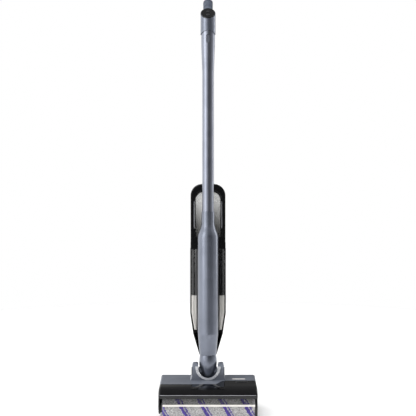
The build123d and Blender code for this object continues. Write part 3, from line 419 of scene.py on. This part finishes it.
lengths = np.linspace(0, sleeve_length, round(sleeve_length / STEP) + 1)
angles = np.linspace(0, 2 * math.pi, round(girth / STEP), endpoint=False)
u, v = np.meshgrid(lengths / TUFT + 1, angles / (2 * math.pi) * cells_round, indexing="ij")
cell_u, cell_v = np.floor(u).astype(int), np.floor(v).astype(int)
nearest = np.full(u.shape, 9.0)
owner_u, owner_v = cell_u.copy(), cell_v.copy()
for du in (-1, 0, 1):
    for dv in (-1, 0, 1):
        i = np.clip(cell_u + du, 0, cells_long - 1)
        j = (cell_v + dv) % cells_round
        distance = np.hypot(cell_u + du + offset_long[i, j] - u, cell_v + dv + offset_round[i, j] - v)
        closer = distance < nearest
        nearest = np.where(closer, distance, nearest)
        owner_u, owner_v = np.where(closer, i, owner_u), np.where(closer, j, owner_v)
hill = np.sqrt(np.clip(1 - (nearest / 0.95) ** 2, 0, 1)) * tuft_height[owner_u, owner_v]
print("tufts:", cells_long * cells_round, "grid:", hill.shape,
      "mean height mm", round(hill.mean() * PILE / MM, 2))

# %% [markdown]
# The stripes are two threads of a screw, so one full turn moves along by two spacings. A tuft is
# purple when its own centre lies in a stripe: the yarn is dyed before weaving, so a tuft never has
# two colours. The pile curls down at both ends of the sleeve, where the backing is cut.

# %% Wind the purple stripes and raise the pile
STRIPE_SPACING = 58 * MM
STRIPES = ((0.0, 10.0 * MM), (13.0 * MM, 4.0 * MM))    # start and width of the wide and the thin stripe
STRIPE_START = 49.0 * MM   # how far the first stripe is along the sleeve, at the front


def rounding(from_end, radius):
    """How far a rounded end drops, at each distance from that end."""
    inward = radius - from_end
    return np.where(from_end < radius, radius - np.sqrt(np.clip(radius**2 - inward**2, 0, 1)), 0)


centre_long = (owner_u - 1 + offset_long[owner_u, owner_v]) * TUFT
centre_turn = (owner_v + offset_round[owner_u, owner_v]) / cells_round
phase = (centre_long - STRIPE_START + 2 * STRIPE_SPACING * centre_turn) % STRIPE_SPACING
purple = np.zeros(hill.shape)
for start, width in STRIPES:
    purple[(phase >= start) & (phase < start + width)] = 1.0

from_end = np.minimum(lengths, sleeve_length - lengths)
curl = rounding(from_end, END_ROUND)
radii = sleeve_radius - PILE - curl[:, None] + PILE * hill
inner = np.full((1, len(angles)), BORE)
bore_lengths = lengths[::-1][::BORE_SKIP]
all_lengths = np.concatenate([lengths, bore_lengths])
all_radii = np.concatenate([radii, np.repeat(inner, len(bore_lengths), axis=0)])
# angle 0 is the front, and angles grow upward from there
grid = round_axis((sleeve_lo.x, roller_y, roller_z), (1, 0, 0), (0, -1, 0), all_lengths, all_radii,
                  -angles)
print("purple share of the pile:", round(float(purple.mean()), 2))

# %% [markdown]
# Microfibre yarn scatters light from thousands of fibre tips: no gloss, but a soft pale sheen where
# the pile is seen edge on. The yarn colour, the tone of each tuft and a painted shade at its root, a
# base colour that darkens down between the tufts, come from three values stored on the mesh points,
# and a fine noise adds the single fibres.

# %% Microfibre finish
def microfibre():
    tree, shader = new_finish("tufted_microfibre")
    place = node(tree, "TexCoord").outputs["Object"]
    yarn, tone, depth = (node(tree, "Attribute", attribute_name=name).outputs["Fac"]
                         for name in ("yarn", "tone", "depth"))
    # fibres 0.06 mm thick, drawn as 0.7 mm specks so that they show
    fibres = node(tree, "TexNoise", {"Scale": 1000 / 0.7, "Detail": 5.0, "Roughness": 0.7},
                  {"Vector": place})
    specks = node(tree, "MapRange", {"From Min": 0.3, "From Max": 0.7}, {"Value": fibres.outputs["Fac"]})
    greys = node(tree, "Mix", {6: linear("#858484"), 7: linear("#D2D1D1")}, {0: tone}, data_type="RGBA")
    purples = node(tree, "Mix", {6: linear("#260A70"), 7: linear("#4318A8")}, {0: tone},
                   data_type="RGBA")
    dyed = node(tree, "Mix", links={0: yarn, 6: greys.outputs[2], 7: purples.outputs[2]},
                data_type="RGBA")
    flecked = node(tree, "Mix", {7: linear("#FFFFFF")}, {6: dyed.outputs[2]}, data_type="RGBA")
    fleck_share = node(tree, "MapRange", {"To Max": 0.10}, {"Value": specks.outputs[0]})
    tree.links.new(fleck_share.outputs[0], flecked.inputs[0])
    # painted shade: the base colour darkens to 0.42 of itself where the pile is lowest, between the tufts
    painted_root_shade = node(tree, "MapRange", {"To Min": 0.42, "To Max": 1.0}, {"Value": depth})
    shaded = node(tree, "Mix", {0: 1.0}, {6: flecked.outputs[2], 7: painted_root_shade.outputs[0]}, data_type="RGBA",
                  blend_type="MULTIPLY")
    fuzz = node(tree, "Bump", {"Strength": 0.8, "Distance": 0.35 * MM}, {"Height": fibres.outputs["Fac"]})
    tree.links.new(shaded.outputs[2], shader.inputs["Base Color"])
    tree.links.new(fuzz.outputs[0], shader.inputs["Normal"])
    set_shader(shader, Roughness=0.92, IOR=1.5, Sheen_Weight=0.15, Sheen_Roughness=0.5)


microfibre()
pile = closed_skin("fleece_pile", grid, "tufted_microfibre")
inside = np.zeros((len(bore_lengths), len(angles)))
for name, values in (("yarn", purple), ("tone", tuft_tone[owner_u, owner_v]), ("depth", hill)):
    layer = pile.data.attributes.new(name, "FLOAT", "POINT")
    layer.data.foreach_set("value", np.concatenate([values, inside]).ravel().astype(np.float32))
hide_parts("roller_fleece")
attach(pile, "roller")
print("fleece pile points:", len(pile.data.vertices))

# %% [markdown]
# The grip is a tube inside a thermoplastic rubber skin, moulded over it in one shot. Its knurl of small
# diamonds keeps a wet hand from slipping. The skin is a grid round the grip's axis whose radius
# follows two crossing waves, with a plain rounded bead at each end where the mould closes.

# %% Knurled rubber skin of the grip
GRIP_RISE = math.radians(25)
GRIP_ROOT_HEIGHT = 990 * MM    # up the body from the recline pivot
grip_root = pivot + GRIP_ROOT_HEIGHT * up_body
grip_way = np.array([0.0, math.cos(GRIP_RISE), math.sin(GRIP_RISE)])
GRIP_SPAN = (35.2 * MM, 121.8 * MM)
GRIP_RADIUS, GRIP_CORE = 14 * MM, 11.1 * MM
GRIP_WAIST = 0.5 * MM      # how much slimmer the grip is half way along
GRIP_BEAD = 1.2 * MM       # radius of the rounded ends
PLAIN_END = 3 * MM         # smooth skin before the knurl starts
DIAMOND = 3.4 * MM
KNURL = 0.55 * MM          # depth of the grooves


def knurled_grip():
    lengths = np.linspace(*GRIP_SPAN, 150)
    angles = np.linspace(0, 2 * math.pi, 176, endpoint=False)
    u, v = np.meshgrid(lengths, angles, indexing="ij")
    turns = round(2 * math.pi * GRIP_RADIUS / DIAMOND)
    along = 2 * math.pi * u / DIAMOND
    diamonds = np.abs(np.sin((along + turns * v) / 2) * np.sin((along - turns * v) / 2))
    from_end = np.minimum(u - GRIP_SPAN[0], GRIP_SPAN[1] - u)
    plain = np.clip(1 - (from_end - PLAIN_END) / MM, 0, 1)
    relief = np.maximum(np.clip(diamonds * 1.6, 0, 1), plain)
    half_way = (u - GRIP_SPAN[0]) / (GRIP_SPAN[1] - GRIP_SPAN[0])
    waist = GRIP_WAIST * np.sin(math.pi * half_way) ** 2
    radii = GRIP_RADIUS - KNURL * (1 - relief) - rounding(from_end, GRIP_BEAD) - waist
    back = lengths[::-1][::10]
    grid = round_axis(grip_root, grip_way, (1, 0, 0), np.concatenate([lengths, back]),
                      np.concatenate([radii, np.full((len(back), len(angles)), GRIP_CORE)]), angles)
    moulded("soft_touch_tpe", "#343A46", "#444B58", 0.68, 0.5, 0.05, ior=1.5)
    skin = closed_skin("grip_skin", grid, "soft_touch_tpe")
    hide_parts("grip_sleeve")
    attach(skin, "handle")
    print("grip skin diamonds round:", turns)


knurled_grip()

# %% [markdown]
# Dirty water rises from the head to the tank through a bellows hose inside the hollow neck. It has to
# bend when the body leans back, so its wall is folded like a concertina, 5 mm from fold to fold. The
# lower end sits in the head's duct and the upper end in the neck, and the mesh runs straight between
# them.

# %% Bellows hose in the neck
FOLD = 5 * MM
HOSE_SPAN = (-23 * MM, 52 * MM)    # below and above the recline pivot
HOSE_RADIUS, FOLD_DEPTH, HOSE_WALL = 11.2 * MM, 1.6 * MM, 1.0 * MM


def bellows_hose():
    lengths = np.arange(*HOSE_SPAN, FOLD / 10)
    angles = np.linspace(0, 2 * math.pi, 64, endpoint=False)
    wave = 0.5 + 0.5 * np.cos(2 * math.pi * lengths / FOLD)
    outer = HOSE_RADIUS + FOLD_DEPTH * wave**0.7
    radii = np.concatenate([outer, outer[::-1] - HOSE_WALL])
    grid = round_axis(pivot, up_body, (1, 0, 0), np.concatenate([lengths, lengths[::-1]]),
                      np.repeat(radii[:, None], len(angles), axis=1), angles)
    moulded("flexible_black_tpe", "#19191B", "#232326", 0.55, 0.8, 0.04, ior=1.5)
    hose = closed_skin("bellows_hose", grid, "flexible_black_tpe")
    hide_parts("suction_hose")
    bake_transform(hose)
    print("hose folds:", round((lengths[-1] - lengths[0]) / FOLD))


bellows_hose()

# %% [markdown]
# The black cover ends in a rolled lip whose crest catches the light as one thin pale line. A bevel is
# too small to see from across a room, so the line is a painted highlight: a half-round strip of pale
# grey plastic, 1.7 mm high, that follows the front of the cover and is tapered at both ends.

# %% Painted highlight along the lip of the front cover
BEAD_CORE = 0.3            # a bead is a skin round a thin core, this share of its radius


def bead_radii(lengths, radius, taper, around):
    """Radii of a closed bead that swells over its first and last stretch."""
    from_end = np.minimum(lengths - lengths[0], lengths[-1] - lengths)
    outer = radius * np.sqrt(np.clip(from_end / taper, 0.02, 1))
    return np.repeat(np.concatenate([outer, outer[::-1] * BEAD_CORE])[:, None], around, axis=1)


def painted_lip_highlight():
    cover_lo, cover_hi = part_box("front_cover")
    lip_height, end_gap, proud, flatness = 73.0 * MM, 3 * MM, 0.35 * MM, 0.4
    front = cover_lo.y + proud
    lengths = np.linspace(cover_lo.x + end_gap, cover_hi.x - end_gap, 120)
    angles = np.linspace(0, 2 * math.pi, 24, endpoint=False)
    radii = bead_radii(lengths, 0.85 * MM, 4 * MM, len(angles))
    grid = round_axis((0, 0, 0), (1, 0, 0), (0, -1, 0), np.concatenate([lengths, lengths[::-1]]),
                      radii, angles)
    grid[..., 1] = grid[..., 1] * flatness + front
    grid[..., 2] += lip_height
    # a pale grey strip that paints the highlight on the crest of the lip
    bead = closed_skin("painted_lip_highlight", grid, "pale_grey_highlight_paint")
    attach(bead, "cover")
    print("lip bead length mm:", round((lengths[-1] - lengths[0]) / MM, 1))


painted_lip_highlight()

# %% [markdown]
# The black frame round the clean tank shows a pale upright line down each side, a highlight on its
# polished edge. Each line is a painted highlight: a slim pale grey bead with pointed ends, set half
# into the frame's front face.

# %% Painted highlights on the tank frame
FRAME_FACE = 18.3 * MM             # the frame's front, behind the axis of the body
HIGHLIGHT_SPAN = (396 * MM, 474 * MM)    # up the body from the recline pivot
HIGHLIGHT_OUT = 38.6 * MM                # from the middle of the machine


def paint_frame_highlights():
    back_of_axis = np.array([0.0, math.cos(LEAN), -math.sin(LEAN)])
    lengths = np.linspace(*HIGHLIGHT_SPAN, 80)
    angles = np.linspace(0, 2 * math.pi, 20, endpoint=False)
    radii = bead_radii(lengths, 0.9 * MM, 6 * MM, len(angles))
    for name, hand in (("painted_frame_highlight_left", -1), ("painted_frame_highlight_right", 1)):
        origin = pivot + FRAME_FACE * back_of_axis + np.array([hand * HIGHLIGHT_OUT, 0, 0])
        grid = round_axis(origin, up_body, (1, 0, 0), np.concatenate([lengths, lengths[::-1]]),
                          radii, angles)
        # each strip is a painted highlight on the frame's polished edge
        highlight_strip = closed_skin(name, grid, "pale_grey_highlight_paint")
        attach(highlight_strip, "body")
    print("frame rib length mm:", round((HIGHLIGHT_SPAN[1] - HIGHLIGHT_SPAN[0]) / MM))


paint_frame_highlights()

# %% [markdown]
# The machine stands on a pale disc. It is wide enough to catch the shadow and the light that bounces
# up under the head.

# %% Pale floor
scene.view_settings.view_transform = "Standard"
scene.view_settings.look = "None"
FLOOR_RADIUS = 1.9

floor_mesh = bpy.data.meshes.new("studio_floor")
rim = [(FLOOR_RADIUS * math.cos(a), FLOOR_RADIUS * math.sin(a), 0)
       for a in np.linspace(0, 2 * math.pi, 96, endpoint=False)]
floor_mesh.from_pydata(rim, [], [range(len(rim))])
floor = bpy.data.objects.new("studio_floor", floor_mesh)
scene.collection.objects.link(floor)
tree, shader = new_finish("pale_studio_floor")
tree.links.new(drift(tree, "#F4F4F4", "#F8F8F8", 900), shader.inputs["Base Color"])
set_shader(shader, Roughness=0.9)
floor_mesh.materials.append(finishes["pale_studio_floor"])
print("floor radius m:", FLOOR_RADIUS)

# %% [markdown]
# Gloss needs something to mirror. A plain white room would wash the black shells out, so the world is
# bright on the left, half bright behind on the right, and dark in front. Round pieces then show one
# broad light side, one dark band and one softer light edge. The camera itself sees plain white.

# %% World with a light side and a dark side
WORLD_DARK, WORLD_BRIGHT = 0.10, 1.5
world = bpy.data.worlds.new("soft_studio")
scene.world = world
world.use_nodes = True
tree = world.node_tree
tree.nodes.clear()
direction = node(tree, "SeparateXYZ", links={0: node(tree, "TexCoord").outputs["Generated"]})
left = node(tree, "MapRange", {"From Min": 0.02, "From Max": -0.40}, {"Value": direction.outputs["X"]},
            interpolation_type="SMOOTHSTEP")
right = node(tree, "MapRange", {"From Min": 0.25, "From Max": 0.7, "To Max": 0.42},
             {"Value": direction.outputs["X"]}, interpolation_type="SMOOTHSTEP")
not_front = node(tree, "MapRange", {"From Min": -0.75, "From Max": -0.1},
                 {"Value": direction.outputs["Y"]}, interpolation_type="SMOOTHSTEP")
behind = node(tree, "Math", links={0: right.outputs[0], 1: not_front.outputs[0]}, operation="MULTIPLY")
above = node(tree, "MapRange", {"From Min": 0.35, "From Max": 0.9, "To Max": 0.12},
             {"Value": direction.outputs["Z"]}, interpolation_type="SMOOTHSTEP")
sides = node(tree, "Math", links={0: left.outputs[0], 1: behind.outputs[0]}, operation="MAXIMUM")
room = node(tree, "Math", links={0: sides.outputs[0], 1: above.outputs[0]}, operation="MAXIMUM")
level = node(tree, "MapRange", {"To Min": WORLD_DARK, "To Max": WORLD_BRIGHT}, {"Value": room.outputs[0]})
seen = node(tree, "LightPath").outputs["Is Camera Ray"]
strength = node(tree, "Mix", {3: 1.0}, {0: seen, 2: level.outputs[0]}, data_type="FLOAT")
sky = node(tree, "Background", {"Color": (1, 1, 1, 1)}, {"Strength": strength.outputs[0]})
node(tree, "OutputWorld", links={"Surface": sky.outputs[0]})
print("world strength from", WORLD_DARK, "to", WORLD_BRIGHT)

# %% [markdown]
# Three large lamps shape the light: one from the left front, one above, and a slim one behind on the
# right that lights the edge. Large lamps give soft shadows. The one above isn't mirrored, because it
# would lie as a white bar across the glossy cover.

# %% Soft lamps
def soft_lamp(name, place, target, width, height, watts, mirrored=True):
    lamp = bpy.data.lights.new(name, "AREA")
    lamp.shape = "RECTANGLE"
    lamp.size, lamp.size_y, lamp.energy = width, height, watts
    holder = bpy.data.objects.new(name, lamp)
    scene.collection.objects.link(holder)
    holder.location = place
    holder.rotation_euler = (Vector(target) - Vector(place)).to_track_quat("-Z", "Y").to_euler()
    holder.visible_camera = False
    holder.visible_glossy = mirrored


soft_lamp("left_softbox", (-2.2, -1.5, 1.5), (0, 0, 0.5), 1.4, 2.4, 26)
soft_lamp("overhead_softbox", (0.2, -0.3, 3.0), (0, 0, 0.2), 2.5, 2.5, 70, mirrored=False)
soft_lamp("right_rim_softbox", (2.2, 1.2, 1.2), (0, 0, 0.6), 0.7, 2.2, 14)
print("lamps:", len(bpy.data.lights))

# %% [markdown]
# The camera stands straight in front of the roller, a little above the middle of the machine, and
# looks down slightly. It is far away with a long lens, so the tall pole stays nearly parallel.

# %% Camera
LENS = 84.46               # millimetres, on a sensor 36 mm wide
CAMERA_DISTANCE, CAMERA_HEIGHT = 2.6, 0.72
LOOK_DOWN = math.radians(3.3)
camera = bpy.data.cameras.new("camera")
camera.sensor_fit = "HORIZONTAL"
camera.sensor_width = 36.0
camera.lens = LENS
viewer = bpy.data.objects.new("camera", camera)
scene.collection.objects.link(viewer)
viewer.location = (0.0, roller_y - CAMERA_DISTANCE, CAMERA_HEIGHT)
viewer.rotation_euler = (math.pi / 2 - LOOK_DOWN, 0.0, 0.0)
scene.camera = viewer
print("camera at", [round(v, 3) for v in viewer.location])
